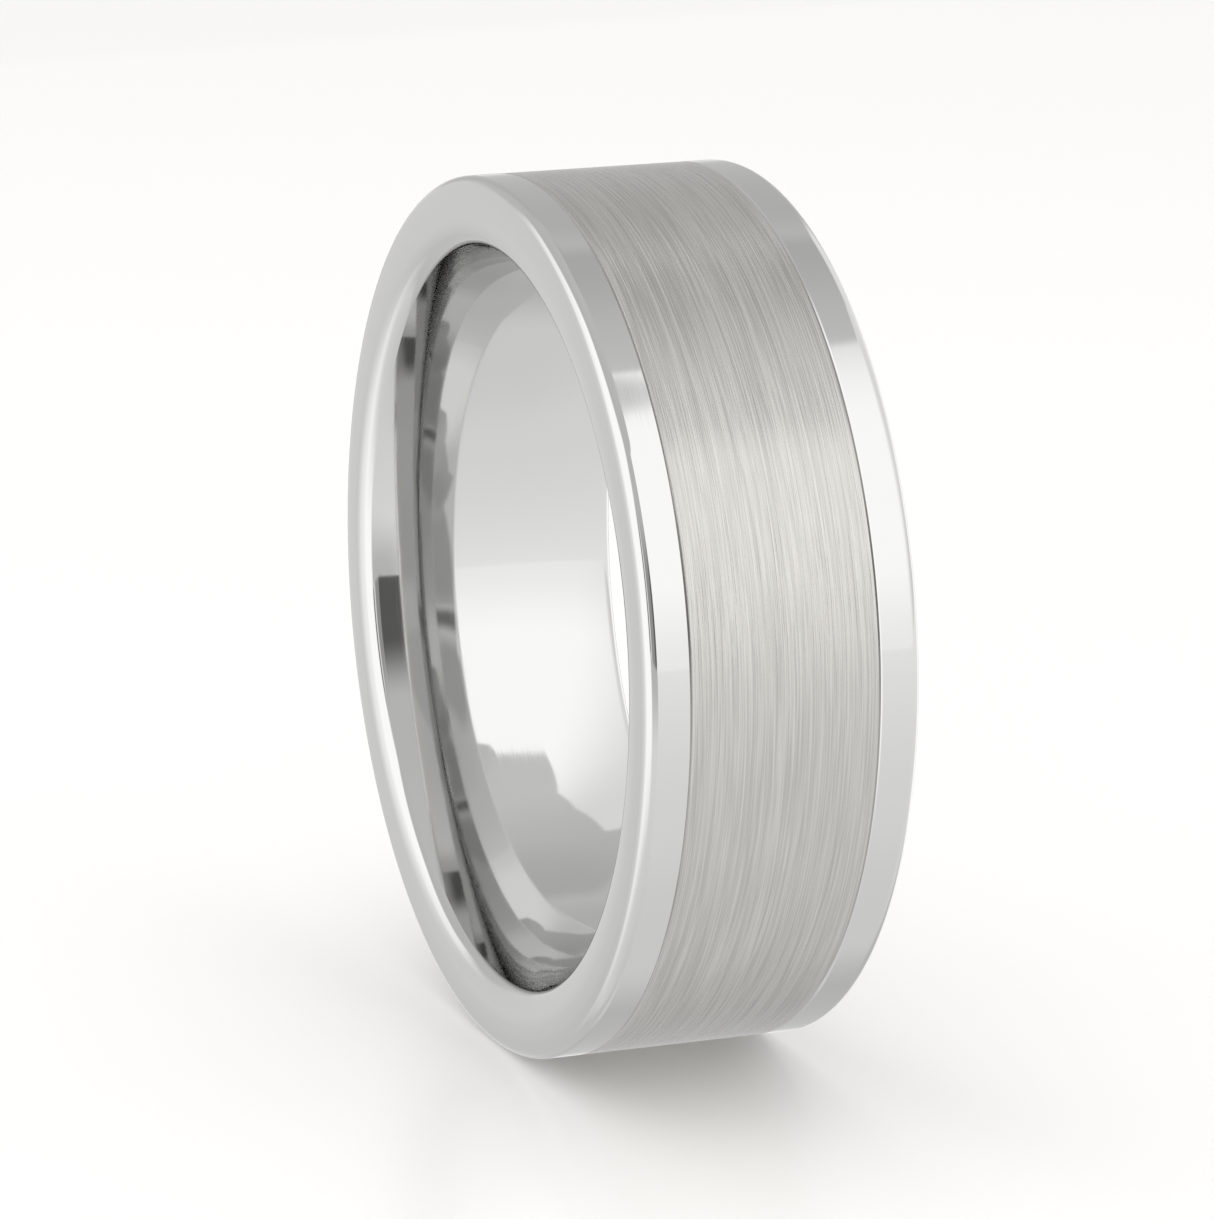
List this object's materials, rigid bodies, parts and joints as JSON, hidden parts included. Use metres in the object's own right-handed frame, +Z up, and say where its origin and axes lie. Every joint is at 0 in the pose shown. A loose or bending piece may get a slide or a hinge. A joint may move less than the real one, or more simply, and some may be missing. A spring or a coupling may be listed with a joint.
{
  "type": "wedding band",
  "caption": "Flat pipe-cut finger ring with a satin centre band between two polished edge rings and a domed comfort-fit bore.",
  "frame": {"origin": "centre of the finger bore, on its axis and half way across the width", "axes": "+Y along the bore axis towards the back edge ring, +Z up; the ring stands on its rim"},
  "size_m": [0.0252, 0.008, 0.0252],
  "materials": {
    "polished_rail": "mirror polished",
    "polished_bore": "mirror polished, slightly wavy",
    "satin_band": "satin, brushed round the ring",
    "bond": "cured resin, hidden"
  },
  "bodies": {
    "root": {"front_rail": "polished_rail", "back_rail": "polished_rail", "comfort_liner": "polished_bore", "brushed_band": "satin_band", "bond_layer": "bond"}
  },
  "joints": []
}
